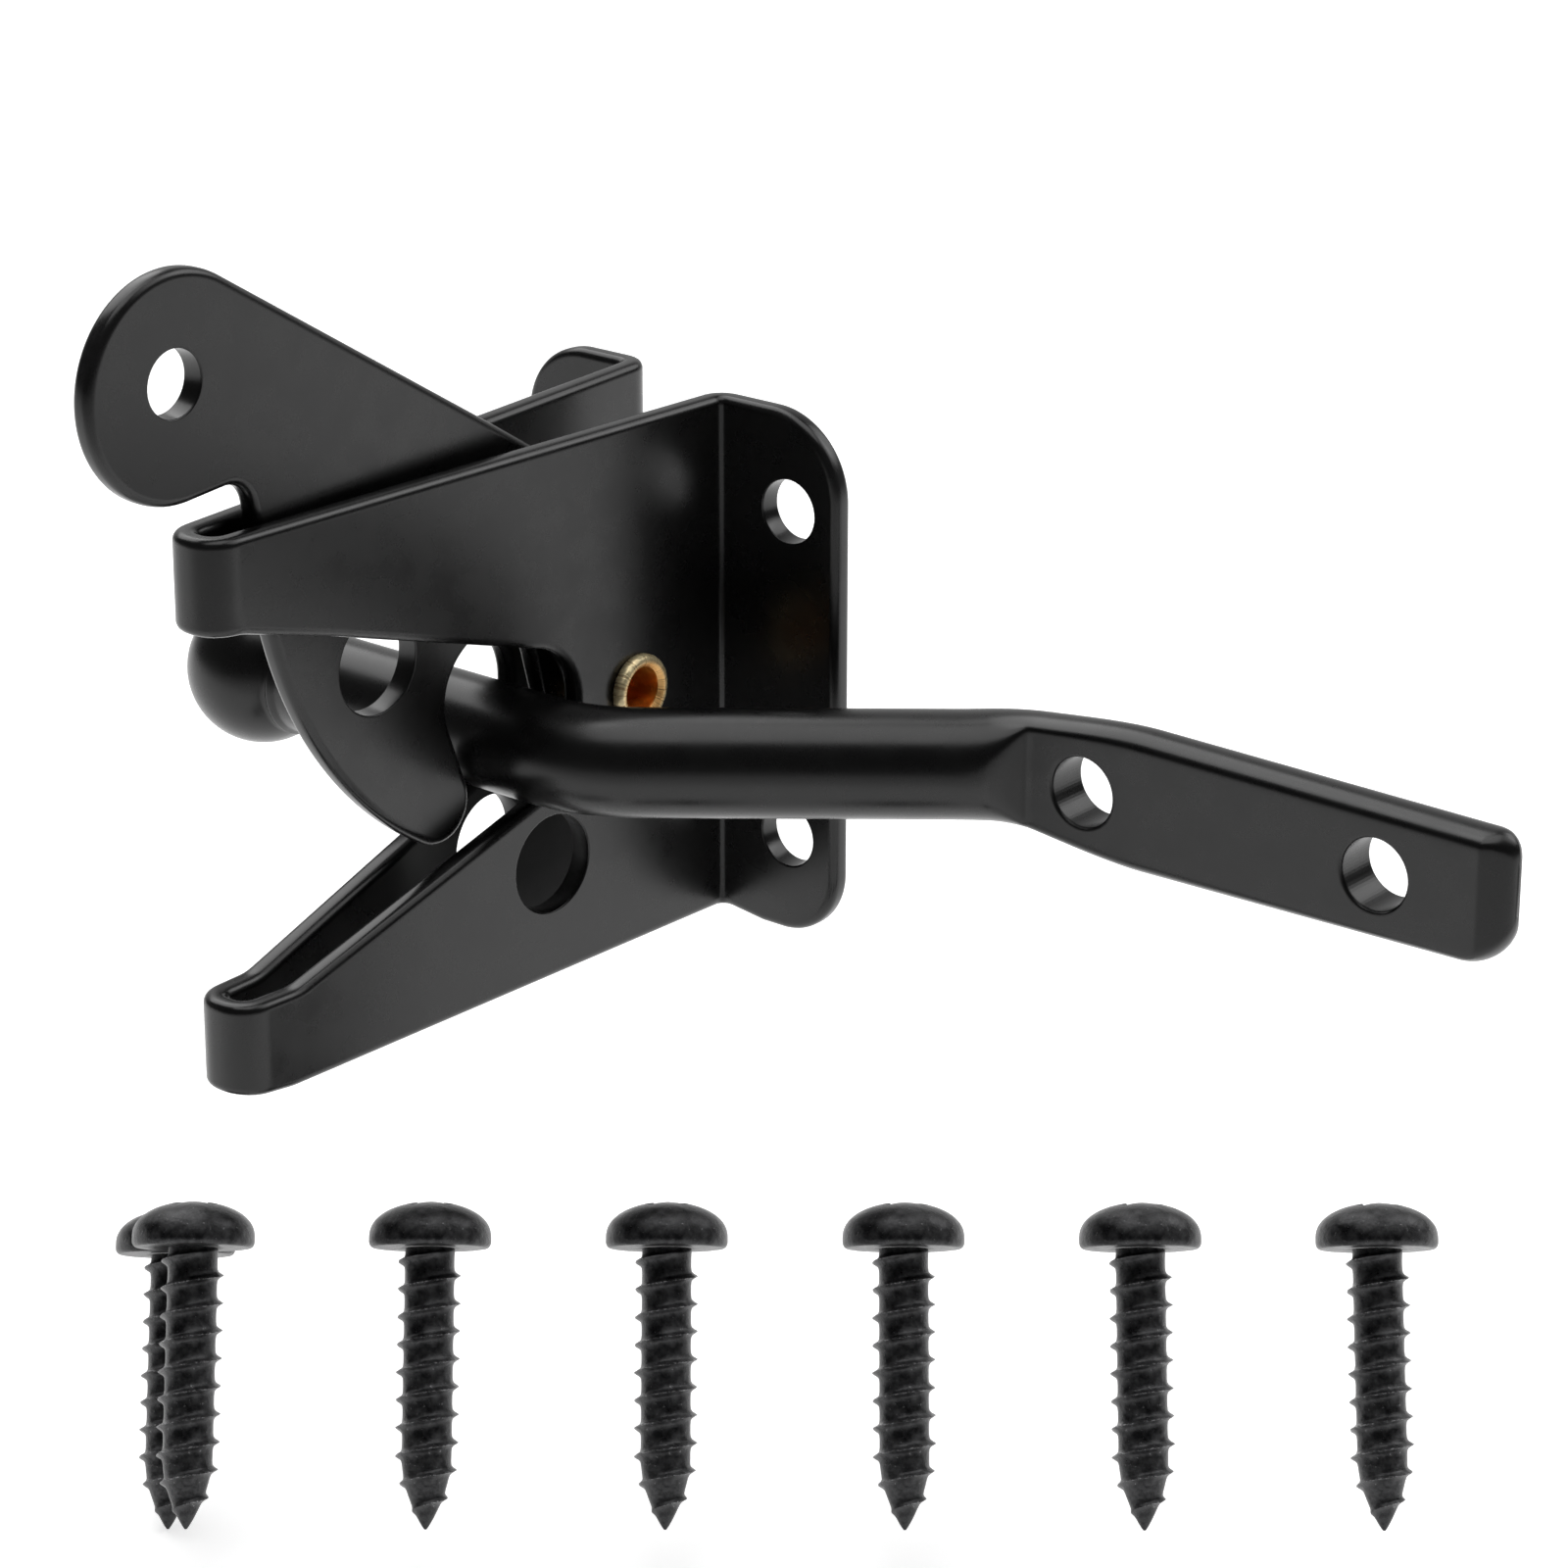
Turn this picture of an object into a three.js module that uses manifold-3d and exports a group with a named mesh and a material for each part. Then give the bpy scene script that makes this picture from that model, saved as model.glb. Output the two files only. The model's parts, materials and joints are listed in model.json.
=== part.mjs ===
// Gravity latch for a stair gate, with its striker bar and its wood screws.
//
// Frame, in millimetres: X runs along the striker bar, Y points into the post, Z is up.
// The origin is the middle of the four flange holes, on the plane where the flanges meet the post.
// The lever is at rest, dropped in front of the striker bar.

import * as THREE from 'three';
import { mergeVertices } from 'three/addons/utils/BufferGeometryUtils.js';
import Module from 'manifold-3d';

const wasm = await Module();
wasm.setup();

const DEGREE = Math.PI / 180;

// Housing: one sheet of steel, folded round the nose and out into two flanges.
const SHEET = 2.2;
const TOP = 25.6;
const TOP_AT_LEFT_FLANGE = 26.5;
const BOTTOM_AT_POST = -25.2;
const BOTTOM_EDGE = [{ y: -57, z: -26.1 }, { y: -64, z: -25.4 }];
const UPPER_NOSE_Y = -64.3;
const LOWER_NOSE_Y = -62.9;
const PLATE_HALF_WIDTH = 6.15;
const PLATE_TAPER = 0.0455;
const BEND_INSIDE_RADIUS = 0.8;
const NOSE_ROUNDING = 0.94;
const FLANGE = {
  leftX: -18.4, rightX: 20.05, bottom: -25.7, topRadius: 8.2, bottomRadius: 6.6, rampStart: 7, rampEnd: 11,
};

// Mouth: a V that leads the striker bar back into a round-cornered throat.
const THROAT_Y = -21.4;
const THROAT_TOP_RADIUS = 6;
const THROAT_BOTTOM_RADIUS = 5.6;
const UPPER_ARM_EDGE = { throatZ: 5.35, noseY: -61, noseZ: 16.9 };
const LOWER_ARM_EDGE = { throatZ: -6.05, noseY: -56, noseZ: -17.1 };

// Holes in the housing.
const FLANGE_HOLE = { x: 14.25, z: 16, radius: 3.05 };
const PADLOCK_HOLE = { y: -24.9, z: -14.3, radius: 4.7 };
const PIVOT = { y: -13.6, z: -0.2 };
const PIVOT_HOLE_RADIUS = 3;

// Lever: a flat plate with a thumb lobe in front, a heel at the post and a tail that drops in front of the bar.
const LEVER_THICKNESS = 2.2;
const LOBE = { y: -65.1, z: 39, radius: 10.1 };
const TOP_EDGE_NORMAL = 58.4 * DEGREE;
const HEEL = { y: -21, z: 13.1, radius: 9 };
const HUB_RADIUS = 7.7;
const NOTCH_FILLET = { y: -59.9, z: 26.6, radius: 2.7 };
const LOBE_END = 275 * DEGREE;
const TAIL_BACK = { y: -16, z: 25, radius: 40.8, start: 194.6 * DEGREE, end: 238.6 * DEGREE };
const TAIL_TIP_RADIUS = 3.8;
const BAR_SLOT = { y: -28.3, z: 2.4, radius: 5.9, tilt: 19 * DEGREE };
const CABLE_HOLE = { y: -65.6, z: 39.5, radius: 3 };
const TAIL_HOLE = { y: -42.9, z: 9.1, radius: 4.75 };

// Pivot: a tubular brass rivet, rolled over on both plates.
const RIVET = {
  shankRadius: 2.8, boreRadius: 2.15, headRadius: 3.6, headThickness: 0.65, edge: 0.35, gap: 0.2,
};

// Striker: a round bar with a ball at one end and a pressed flat with two screw holes at the other.
const BAR = { radius: 5, y: -27.1, z: -2.3 };
const BALL = { x: -30, radius: 7.3 };
const BAR_BENDS = [{ x: 11.1, radius: 14 }, { x: 41.6, radius: 9 }];
const FLAT = {
  startX: 43.5, endX: 92, thickness: 4.7, pressLength: 6,
  growFrom: 37, growTo: 56, widest: 6.6, endHalfHeight: 6, endRadius: 2.4,
};
const STRIKER_HOLE = { xs: [50, 80.5], radius: 3.25 };

// Wood screws, laid out in a row in front of the latch, tips down and heads leaning back.
const SCREW = {
  headRadius: 5.45, headHeight: 4.1, length: 24.6, coreRadius: 2.2, threadRadius: 2.8,
  pitch: 2.43, tipLength: 6.4, plainLength: 2, recessWidth: 1.1, recessLength: 5.6, recessDepth: 2,
};
const SCREW_ROW = {
  x: 52.6, y: -32.2, tipZ: -63.1, spacing: 21.1, direction: 39.7 * DEGREE, lean: 30.5 * DEGREE,
  places: [-3, -2, -1, 0, 1, 2],
};
const SPARE_SCREW_OFFSET = { along: -3, behind: 9.6, below: 5.5 };

// ---- Solids ----

function toSolid(geometry) {
  const bare = geometry.clone();
  bare.deleteAttribute('normal');
  bare.deleteAttribute('uv');
  const merged = mergeVertices(bare, 1e-4);
  const corners = [];
  for (let i = 0; i < merged.index.count; i += 3) {
    const [a, b, c] = merged.index.array.slice(i, i + 3);
    if (a !== b && b !== c && c !== a) {
      corners.push(a, b, c);
    }
  }
  return new wasm.Manifold(new wasm.Mesh({
    numProp: 3,
    vertProperties: new Float32Array(merged.attributes.position.array),
    triVerts: new Uint32Array(corners),
  }));
}

function toMesh(solid, name, material) {
  const { vertProperties, triVerts } = solid.getMesh();
  const geometry = new THREE.BufferGeometry();
  geometry.setAttribute('position', new THREE.BufferAttribute(vertProperties, 3));
  geometry.setIndex(new THREE.BufferAttribute(triVerts, 1));
  const mesh = new THREE.Mesh(geometry, material);
  mesh.name = name;
  return mesh;
}

// An outline in the XY plane, pulled up from one height to another.
function prismAlongZ(shape, low, high, curveSegments = 6) {
  const geometry = new THREE.ExtrudeGeometry(shape, { depth: high - low, bevelEnabled: false, curveSegments });
  return toSolid(geometry.translate(0, 0, low));
}

// An outline drawn in (y, z), pulled along X.
function prismAlongX(shape, low, high, curveSegments = 6) {
  const geometry = new THREE.ExtrudeGeometry(shape, { depth: high - low, bevelEnabled: false, curveSegments });
  geometry.translate(0, 0, low);
  const toYZ = new THREE.Matrix4().makeBasis(
    new THREE.Vector3(0, 1, 0), new THREE.Vector3(0, 0, 1), new THREE.Vector3(1, 0, 0));
  return toSolid(geometry.applyMatrix4(toYZ));
}

function rodAlongX(y, z, radius, low, high, segments = 28) {
  const geometry = new THREE.CylinderGeometry(radius, radius, high - low, segments);
  return toSolid(geometry.rotateZ(90 * DEGREE).translate((low + high) / 2, y, z));
}

function rodAlongY(x, z, radius, low, high, segments = 28) {
  const geometry = new THREE.CylinderGeometry(radius, radius, high - low, segments);
  return toSolid(geometry.translate(x, (low + high) / 2, z));
}

// A closed outline through corners [a, b, radius], each rounded by its radius.
function roundedOutline(corners) {
  const points = corners.map(([a, b]) => new THREE.Vector2(a, b));
  const shape = new THREE.Shape();
  points.forEach((corner, i) => {
    const toBefore = points.at(i - 1).clone().sub(corner).normalize();
    const toAfter = points[(i + 1) % points.length].clone().sub(corner).normalize();
    const radius = corners[i][2] ?? 0;
    const halfAngle = Math.acos(toBefore.dot(toAfter)) / 2;
    const reach = radius / Math.tan(halfAngle);
    const start = corner.clone().addScaledVector(toBefore, reach);
    if (i === 0) {
      shape.moveTo(start.x, start.y);
    } else {
      shape.lineTo(start.x, start.y);
    }
    if (radius > 0) {
      const end = corner.clone().addScaledVector(toAfter, reach);
      const middle = toBefore.clone().add(toAfter).normalize();
      const centre = corner.clone().addScaledVector(middle, radius / Math.sin(halfAngle));
      const fromCentre = (p) => Math.atan2(p.y - centre.y, p.x - centre.x);
      const clockwise = toBefore.cross(toAfter) > 0;
      shape.absarc(centre.x, centre.y, radius, fromCentre(start), fromCentre(end), clockwise);
    }
  });
  shape.closePath();
  return shape;
}

// ---- Housing ----

// Half the housing's outside width at a depth: the plates close towards the nose.
function plateX(y) {
  return PLATE_HALF_WIDTH + PLATE_TAPER * (y + SHEET);
}

// The folded sheet seen from above: flange, plate, nose, plate, flange.
function foldedSheetOutline(noseY) {
  const outside = plateX(-SHEET);
  const inside = plateX(0) - SHEET;
  const noseX = plateX(noseY);
  const noseInsideX = plateX(noseY + SHEET) - SHEET;
  const noseInsideY = noseY + SHEET;
  const outerBend = BEND_INSIDE_RADIUS + SHEET;
  return roundedOutline([
    [FLANGE.rightX, 0],
    [inside, 0, outerBend],
    [noseInsideX, noseInsideY, noseInsideX * NOSE_ROUNDING],
    [-noseInsideX, noseInsideY, noseInsideX * NOSE_ROUNDING],
    [-inside, 0, outerBend],
    [FLANGE.leftX, 0],
    [FLANGE.leftX, -SHEET],
    [-outside, -SHEET, BEND_INSIDE_RADIUS],
    [-noseX, noseY, noseX * NOSE_ROUNDING],
    [noseX, noseY, noseX * NOSE_ROUNDING],
    [outside, -SHEET, BEND_INSIDE_RADIUS],
    [FLANGE.rightX, -SHEET],
  ]);
}

function mouthOutline() {
  const beyondNose = UPPER_NOSE_Y - 5;
  return roundedOutline([
    [beyondNose, UPPER_ARM_EDGE.noseZ],
    [UPPER_ARM_EDGE.noseY, UPPER_ARM_EDGE.noseZ, 6],
    [THROAT_Y, UPPER_ARM_EDGE.throatZ, THROAT_TOP_RADIUS],
    [THROAT_Y, LOWER_ARM_EDGE.throatZ, THROAT_BOTTOM_RADIUS],
    [LOWER_ARM_EDGE.noseY, LOWER_ARM_EDGE.noseZ, 6],
    [beyondNose, LOWER_ARM_EDGE.noseZ],
  ]);
}

// What is cut off round the flanges, seen from the front.
function flangeTrim() {
  const { leftX, rightX, bottom, topRadius, bottomRadius, rampStart, rampEnd } = FLANGE;
  const outline = roundedOutline([
    [leftX, bottom, bottomRadius],
    [-rampEnd, bottom, 3],
    [-rampStart, BOTTOM_AT_POST, 3],
    [rampStart, BOTTOM_AT_POST, 3],
    [rampEnd, bottom, 3],
    [rightX, bottom, bottomRadius],
    [rightX, TOP, topRadius],
    [0, TOP],
    [0, TOP_AT_LEFT_FLANGE],
    [leftX, TOP_AT_LEFT_FLANGE, topRadius],
  ]);
  const kept = new THREE.ExtrudeGeometry(outline, { depth: 20, bevelEnabled: false, curveSegments: 4 });
  kept.rotateX(90 * DEGREE).translate(0, 10, 0);
  const around = new THREE.BoxGeometry(60, SHEET + 0.02, 80).translate(0, -SHEET / 2, 0);
  return toSolid(around).subtract(toSolid(kept));
}

// One plate's outline seen from the side, with nothing cut out yet.
function plateOutline(topAtPost) {
  const [straightEnd, tip] = BOTTOM_EDGE;
  return roundedOutline([
    [0, topAtPost],
    [UPPER_NOSE_Y, TOP],
    [UPPER_NOSE_Y - 5, TOP],
    [tip.y, tip.z],
    [straightEnd.y, straightEnd.z, 8],
    [-SHEET, BOTTOM_AT_POST],
    [-SHEET, FLANGE.bottom],
    [0, FLANGE.bottom],
  ]);
}

function housingSolid() {
  const upper = prismAlongZ(foldedSheetOutline(UPPER_NOSE_Y), 0, TOP_AT_LEFT_FLANGE + 1, 4);
  const lower = prismAlongZ(foldedSheetOutline(LOWER_NOSE_Y), FLANGE.bottom - 1, 0, 4);
  const leftHalf = prismAlongX(plateOutline(TOP_AT_LEFT_FLANGE), -30, 0);
  const rightHalf = prismAlongX(plateOutline(TOP), 0, 30);
  let housing = upper.add(lower)
    .intersect(leftHalf.add(rightHalf))
    .subtract(prismAlongX(mouthOutline(), -30, 30))
    .subtract(flangeTrim())
    .subtract(rodAlongX(PADLOCK_HOLE.y, PADLOCK_HOLE.z, PADLOCK_HOLE.radius, -15, 15))
    .subtract(rodAlongX(PIVOT.y, PIVOT.z, PIVOT_HOLE_RADIUS, -15, 15));
  for (const x of [-FLANGE_HOLE.x, FLANGE_HOLE.x]) {
    for (const z of [-FLANGE_HOLE.z, FLANGE_HOLE.z]) {
      housing = housing.subtract(rodAlongY(x, z, FLANGE_HOLE.radius, -5, 5));
    }
  }
  return housing;
}

// ---- Lever ----

function leverOutline() {
  const tipReach = TAIL_BACK.radius - TAIL_TIP_RADIUS;
  const tipY = TAIL_BACK.y + tipReach * Math.cos(TAIL_BACK.end);
  const tipZ = TAIL_BACK.z + tipReach * Math.sin(TAIL_BACK.end);
  const tailInside = BAR_SLOT.tilt;
  const hubSide = Math.PI + BAR_SLOT.tilt;

  // The heel and the hub share the tangent line that makes the lever's back edge.
  const apart = Math.hypot(PIVOT.y - HEEL.y, PIVOT.z - HEEL.z);
  const heelToHub = Math.atan2(PIVOT.z - HEEL.z, PIVOT.y - HEEL.y);
  const backEdgeNormal = heelToHub + Math.acos((HEEL.radius - HUB_RADIUS) / apart);

  const shape = new THREE.Shape();
  shape.absarc(LOBE.y, LOBE.z, LOBE.radius, TOP_EDGE_NORMAL, LOBE_END, false);
  shape.absarc(NOTCH_FILLET.y, NOTCH_FILLET.z, NOTCH_FILLET.radius, LOBE_END - Math.PI, 9 * DEGREE, true);
  shape.absarc(TAIL_BACK.y, TAIL_BACK.z, TAIL_BACK.radius, TAIL_BACK.start, TAIL_BACK.end, false);
  shape.absarc(tipY, tipZ, TAIL_TIP_RADIUS, TAIL_BACK.end, 2 * Math.PI + tailInside, false);
  shape.absarc(BAR_SLOT.y, BAR_SLOT.z, BAR_SLOT.radius, Math.PI + BAR_SLOT.tilt, BAR_SLOT.tilt, true);
  shape.absarc(PIVOT.y, PIVOT.z, HUB_RADIUS, hubSide, 2 * Math.PI + backEdgeNormal, false);
  shape.absarc(HEEL.y, HEEL.z, HEEL.radius, backEdgeNormal, TOP_EDGE_NORMAL, false);
  shape.closePath();
  return shape;
}

function leverSolid() {
  const half = LEVER_THICKNESS / 2;
  return prismAlongX(leverOutline(), -half, half, 12)
    .subtract(rodAlongX(CABLE_HOLE.y, CABLE_HOLE.z, CABLE_HOLE.radius, -5, 5))
    .subtract(rodAlongX(TAIL_HOLE.y, TAIL_HOLE.z, TAIL_HOLE.radius, -5, 5))
    .subtract(rodAlongX(PIVOT.y, PIVOT.z, PIVOT_HOLE_RADIUS, -5, 5));
}

// ---- Rivet ----

function rivetSolid() {
  const { shankRadius, boreRadius, headRadius, headThickness, edge, gap } = RIVET;
  const underHead = plateX(PIVOT.y + headRadius) + gap;
  const end = underHead + headThickness;
  const halfProfile = [
    [shankRadius, underHead],
    [headRadius, underHead],
    [headRadius, end - edge],
    [headRadius - edge, end],
    [boreRadius + edge, end],
    [boreRadius, end - edge],
  ];
  const mirrored = halfProfile.map(([r, x]) => [r, -x]).reverse();
  const profile = [...halfProfile, ...mirrored, halfProfile[0]].map(([r, x]) => new THREE.Vector2(r, x));
  const geometry = new THREE.LatheGeometry(profile, 24);
  return toSolid(geometry.rotateZ(90 * DEGREE).translate(0, PIVOT.y, PIVOT.z));
}

// ---- Striker bar ----

// The bar's centre line in the XY plane, from the ball to the end of the flat.
function strikerPath() {
  const flatY = -FLAT.thickness / 2;
  const [first, second] = BAR_BENDS;
  const rise = Math.atan2(flatY - BAR.y, second.x - first.x);
  const reach = (bend) => bend.radius * Math.tan(rise / 2);
  const path = new THREE.Path();
  path.moveTo(BALL.x, BAR.y);
  path.lineTo(first.x - reach(first), BAR.y);
  path.absarc(first.x - reach(first), BAR.y + first.radius, first.radius, -Math.PI / 2, rise - Math.PI / 2);
  path.lineTo(second.x - reach(second) * Math.cos(rise), flatY - reach(second) * Math.sin(rise));
  path.absarc(second.x + reach(second), flatY - second.radius, second.radius,
    rise + Math.PI / 2, Math.PI / 2, true);
  path.lineTo(FLAT.endX, flatY);
  return path;
}

// Half the bar's height: it spreads where it is pressed flat, narrows a little and ends rounded.
function barHalfHeight(x) {
  const { growFrom, growTo, widest, endHalfHeight, endX, endRadius } = FLAT;
  const { clamp, lerp, smoothstep } = THREE.MathUtils;
  const spread = lerp(BAR.radius, widest, smoothstep(x, growFrom, growTo));
  const narrowed = (widest - endHalfHeight) * clamp((x - growTo) / (endX - growTo), 0, 1);
  const intoEnd = clamp((x - endX) / endRadius + 1, 0, 1);
  return spread - narrowed - endRadius * (1 - Math.sqrt(1 - intoEnd * intoEnd));
}

// A plain cylinder, bent along the path and pressed flat towards its end.
function barSolid() {
  const path = strikerPath();
  const geometry = new THREE.CylinderGeometry(1, 1, 1, 18, 52);
  const { position } = geometry.attributes;
  const { clamp, lerp, smoothstep } = THREE.MathUtils;
  for (let i = 0; i < position.count; i += 1) {
    const u = position.getY(i) + 0.5;
    const point = path.getPointAt(u);
    const along = path.getTangentAt(u);
    const pressed = smoothstep(point.x, FLAT.startX - FLAT.pressLength, FLAT.startX);
    const halfThickness = lerp(BAR.radius, FLAT.thickness / 2, pressed);
    const squeezed = position.getZ(i) * lerp(BAR.radius, BAR.radius * 1.15, pressed);
    const across = clamp(squeezed, -halfThickness, halfThickness);
    const up = position.getX(i) * barHalfHeight(point.x);
    position.setXYZ(i, point.x - along.y * across, point.y + along.x * across, BAR.z + up);
  }
  return toSolid(geometry);
}

function strikerSolid() {
  const ball = new THREE.SphereGeometry(BALL.radius, 20, 14).translate(BALL.x, BAR.y, BAR.z);
  let striker = barSolid().add(toSolid(ball));
  for (const x of STRIKER_HOLE.xs) {
    striker = striker.subtract(rodAlongY(x, BAR.z, STRIKER_HOLE.radius, -10, 5));
  }
  return striker;
}

// ---- Wood screw ----

// The threaded shank, tip at the origin. Its rows of points follow the helix, four rows to a pitch.
function shankSolid() {
  const { length, coreRadius, threadRadius, pitch, tipLength, plainLength } = SCREW;
  const rowsPerPitch = 4;
  const rowStep = pitch / rowsPerPitch;
  const rows = Math.ceil(length / rowStep) + rowsPerPitch;
  const geometry = new THREE.CylinderGeometry(1, 1, 1, 9, rows);
  const { position, uv } = geometry.attributes;
  for (let i = 0; i < position.count; i += 1) {
    const row = Math.round((position.getY(i) + 0.5) * rows) - rowsPerPitch;
    const x = position.getX(i);
    const y = -position.getZ(i);
    const z = THREE.MathUtils.clamp((row + uv.getX(i) * rowsPerPitch) * rowStep, 0, length);
    const sharpness = Math.min(1, 0.06 + z / tipLength);
    const threaded = row % rowsPerPitch === 0 && z > rowStep && z < length - plainLength;
    const radius = sharpness * (threaded ? threadRadius : coreRadius);
    position.setXYZ(i, x * radius, y * radius, z);
  }
  return toSolid(geometry);
}

function screwSolid() {
  const { headRadius, headHeight, length, recessWidth, recessLength, recessDepth } = SCREW;
  const dome = [
    [0, length - 0.4],
    [headRadius - 0.4, length],
    [headRadius, length + headHeight * 0.22],
    [headRadius * 0.96, length + headHeight * 0.45],
    [headRadius * 0.85, length + headHeight * 0.66],
    [headRadius * 0.62, length + headHeight * 0.87],
    [headRadius * 0.32, length + headHeight * 0.97],
    [0, length + headHeight],
  ].map(([r, z]) => new THREE.Vector2(r, z));
  const head = new THREE.LatheGeometry(dome, 16).rotateX(90 * DEGREE);
  let screw = shankSolid().add(toSolid(head));
  for (const [x, y] of [[recessLength, recessWidth], [recessWidth, recessLength]]) {
    const slot = new THREE.BoxGeometry(x, y, recessDepth * 2).translate(0, 0, length + headHeight);
    screw = screw.subtract(toSolid(slot));
  }
  return screw;
}

// ---- Assembly ----

const blackCoat = { color: 0x1c1c1e, roughness: 0.42, metalness: 0.1 };
const materials = {
  housing: new THREE.MeshStandardMaterial(blackCoat),
  lever: new THREE.MeshStandardMaterial(blackCoat),
  striker: new THREE.MeshStandardMaterial(blackCoat),
  rivet: new THREE.MeshStandardMaterial({ color: 0xc99a4e, roughness: 0.35, metalness: 1 }),
  screw: new THREE.MeshStandardMaterial({ color: 0x2b2c2e, roughness: 0.5, metalness: 0.8 }),
};

const latch = new THREE.Group();
latch.add(toMesh(housingSolid(), 'housing', materials.housing));
latch.add(toMesh(leverSolid(), 'lever', materials.lever));
latch.add(toMesh(rivetSolid(), 'pivot_rivet', materials.rivet));
latch.add(toMesh(strikerSolid(), 'striker_bar', materials.striker));

const screw = screwSolid();
const row = new THREE.Vector2(Math.cos(SCREW_ROW.direction), Math.sin(SCREW_ROW.direction));
const away = new THREE.Vector2(-row.y, row.x);

function addScrew(name, along, behind = 0, below = 0) {
  const mesh = toMesh(screw, name, materials.screw.clone());
  const x = SCREW_ROW.x + row.x * along + away.x * behind;
  const y = SCREW_ROW.y + row.y * along + away.y * behind;
  mesh.position.set(x, y, SCREW_ROW.tipZ - below);
  mesh.quaternion.setFromAxisAngle(new THREE.Vector3(row.x, row.y, 0), -SCREW_ROW.lean);
  latch.add(mesh);
}

SCREW_ROW.places.forEach((place, i) => {
  addScrew(`wood_screw_${i + 1}`, place * SCREW_ROW.spacing);
});
const spareAlong = SCREW_ROW.places[0] * SCREW_ROW.spacing + SPARE_SCREW_OFFSET.along;
addScrew('wood_screw_spare', spareAlong, SPARE_SCREW_OFFSET.behind, SPARE_SCREW_OFFSET.below);

export default latch;
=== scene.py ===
"""The looks of a gravity gate latch: black-coated sheet, lever and striker bar, brass rivet, wood screws.

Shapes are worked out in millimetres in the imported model's own frame, where X runs along the
striker bar, Y points into the post and Z is up. MM turns them into Blender's metres.
"""

import json
import math

import bpy
import numpy as np
from mathutils import Matrix, Vector
from mathutils.geometry import delaunay_2d_cdt


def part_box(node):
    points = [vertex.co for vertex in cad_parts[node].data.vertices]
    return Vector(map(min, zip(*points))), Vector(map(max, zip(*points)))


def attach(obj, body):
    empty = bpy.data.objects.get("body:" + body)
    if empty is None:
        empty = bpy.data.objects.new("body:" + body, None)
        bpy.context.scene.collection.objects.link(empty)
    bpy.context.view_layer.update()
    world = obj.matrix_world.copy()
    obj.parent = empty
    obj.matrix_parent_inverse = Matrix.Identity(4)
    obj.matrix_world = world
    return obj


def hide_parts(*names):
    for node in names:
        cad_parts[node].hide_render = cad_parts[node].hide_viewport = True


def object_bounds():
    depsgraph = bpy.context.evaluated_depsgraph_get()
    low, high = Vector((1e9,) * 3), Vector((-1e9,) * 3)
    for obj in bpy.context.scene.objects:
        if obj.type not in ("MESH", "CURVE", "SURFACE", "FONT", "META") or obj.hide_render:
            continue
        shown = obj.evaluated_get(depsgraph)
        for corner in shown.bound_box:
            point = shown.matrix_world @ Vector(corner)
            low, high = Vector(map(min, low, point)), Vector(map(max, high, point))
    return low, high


MM = 0.001

# Housing: one folded sheet.
SHEET = 2.2
TOP = 25.6
TOP_AT_LEFT_FLANGE = 27.0
BOTTOM_AT_POST = -25.2
BOTTOM_AT_FLANGE = -25.7
BOTTOM_STRAIGHT_END = (-57, -26.1)
BOTTOM_AT_NOSE = (-61.6, -25.6)
UPPER_NOSE_Y = -64.3
LOWER_NOSE_Y = -62.9
NOSE_ROUNDING = 0.94
PLATE_HALF_WIDTH = 6.15
PLATE_TAPER = 0.0455
BEND_INSIDE_RADIUS = 0.5
FLANGE_TOP_RADIUS = 8.2
FLANGE_BOTTOM_RADIUS = 6.6
FLANGE_RAMP = (7, 11)
FLANGE_HOLE_RADIUS = 3.05
PADLOCK_HOLE_RADIUS = 4.7
PIVOT_HOLE_RADIUS = 2.95
STRAP_SPLIT_Y = -50

# Where the coat is matt, deep between the plates: it sets in over these depths and fades over these heights.
DEEP_Y = (-40, -28)
DEEP_Z = (-2, 8)

# Mouth: the throat's back, and each arm's edge from the throat to the nose.
THROAT_Y = -21.4
THROAT_TOP = (5.35, 6.0)
THROAT_BOTTOM = (-6.05, 5.6)
UPPER_EDGE_AT_NOSE = (-61, 16.9)
LOWER_EDGE_AT_NOSE = (-56, -17.1)
MOUTH_NOSE_RADIUS = 6

# Lever, from above the nose to the tip of the tail.
LEVER_THICKNESS = 2.2
LOBE = (-65.1, 39.0, 10.1)
TOP_EDGE_NORMAL = 58.4
LOBE_END = 275
NOTCH = (-59.9, 26.6, 2.7)
TAIL_BACK = (-16, 25, 40.8)
TAIL_BACK_SPAN = (194.6, 238.6)
TAIL_TIP_RADIUS = 3.8
BAR_SLOT = (-28.3, 2.4, 5.9)
SLOT_TILT = 19
HUB_RADIUS = 7.7
HEEL = (-21, 13.1, 9)
CABLE_HOLE_RADIUS = 3
TAIL_HOLE_RADIUS = 4.75

# Rivet: a tube with a rolled-over head on each plate, a little smaller than the CAD's.
RIVET_SHANK = 2.8
RIVET_BORE = 2.15
RIVET_ROLL = 0.6
RIVET_CHAMFER = 0.6
RIVET_TRIM = 0.2
RIVET_STEPS = 120

# The rivet's colour turns from a darker tan to yellow over these radii: the tan is painted shade on the inner
# chamfer, which slopes into the bore.
RIVET_TAN = (2.6, 3.05)

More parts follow.
